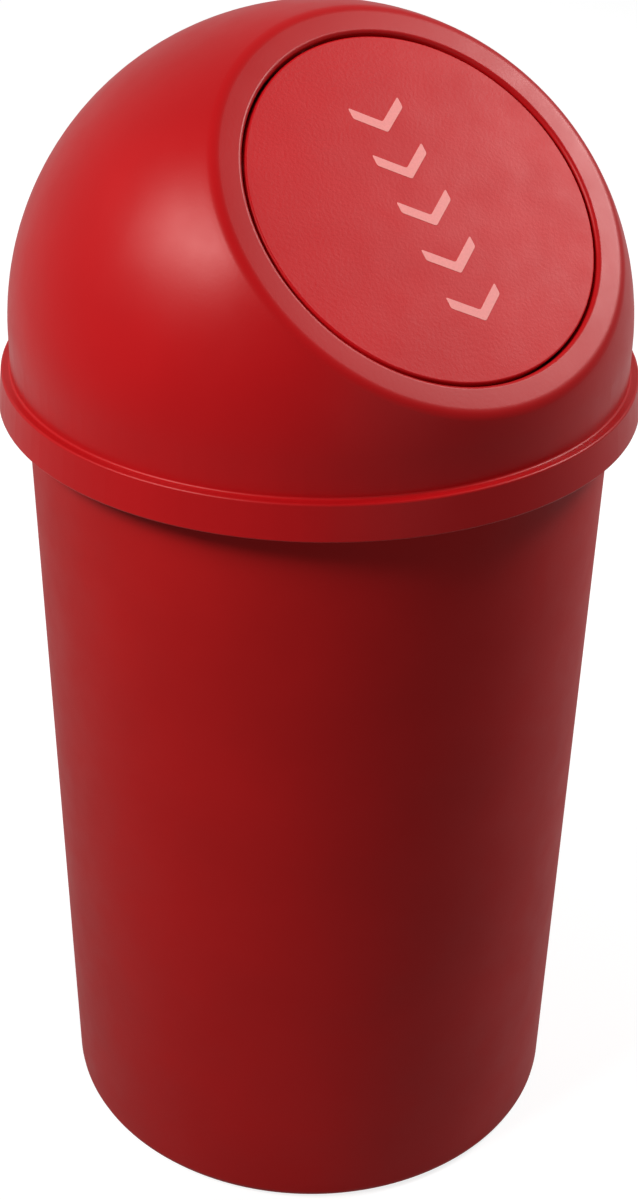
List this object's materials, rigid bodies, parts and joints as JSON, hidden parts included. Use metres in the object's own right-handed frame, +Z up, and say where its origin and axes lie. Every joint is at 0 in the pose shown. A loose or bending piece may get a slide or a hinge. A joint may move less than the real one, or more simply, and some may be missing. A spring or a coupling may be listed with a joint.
{
  "type": "push-flap waste bin",
  "caption": "Round kitchen waste bin: tapered tub, lift-off dome hood and a slanted round push flap that swings inwards and is closed by a counterweight.",
  "frame": {"origin": "centre of the base, on the floor", "axes": "+Z up; the slanted flap faces -Y; +X to the right seen from the front"},
  "size_m": [0.3118, 0.3118, 0.6023],
  "materials": {
    "tub_plastic": "fine-textured moulded polypropylene, signal red",
    "hood_plastic": "fine-textured moulded polypropylene, signal red",
    "flap_plastic": "leather-grained moulded polypropylene, signal red",
    "pin_steel": "bright drawn steel",
    "bar_steel": "zinc-plated steel bar",
    "cap_vinyl": "soft black vinyl",
    "pad_rubber": "matt black cellular rubber"
  },
  "bodies": {
    "bin": {"bin_body": "tub_plastic"},
    "lid": {"lid_hood": "hood_plastic", "stop_pad_left": "pad_rubber", "stop_pad_right": "pad_rubber"},
    "flap": {"flap_panel": "flap_plastic", "hinge_pin_left": "pin_steel", "hinge_pin_right": "pin_steel", "pin_retainer_left": "pin_steel", "pin_retainer_right": "pin_steel", "counterweight_bar": "bar_steel", "bar_cap_left": "cap_vinyl", "bar_cap_right": "cap_vinyl"}
  },
  "joints": [
    {"name": "lid_lift", "type": "slide", "parent": "bin", "child": "lid", "axis": [0, 0, 1], "range_m": [0, 0.2]},
    {"name": "flap_swing", "type": "hinge", "parent": "lid", "child": "flap", "pos_m": [0, -0.04016, 0.55619], "axis": [1, 0, 0], "range_deg": [0, 60]}
  ]
}
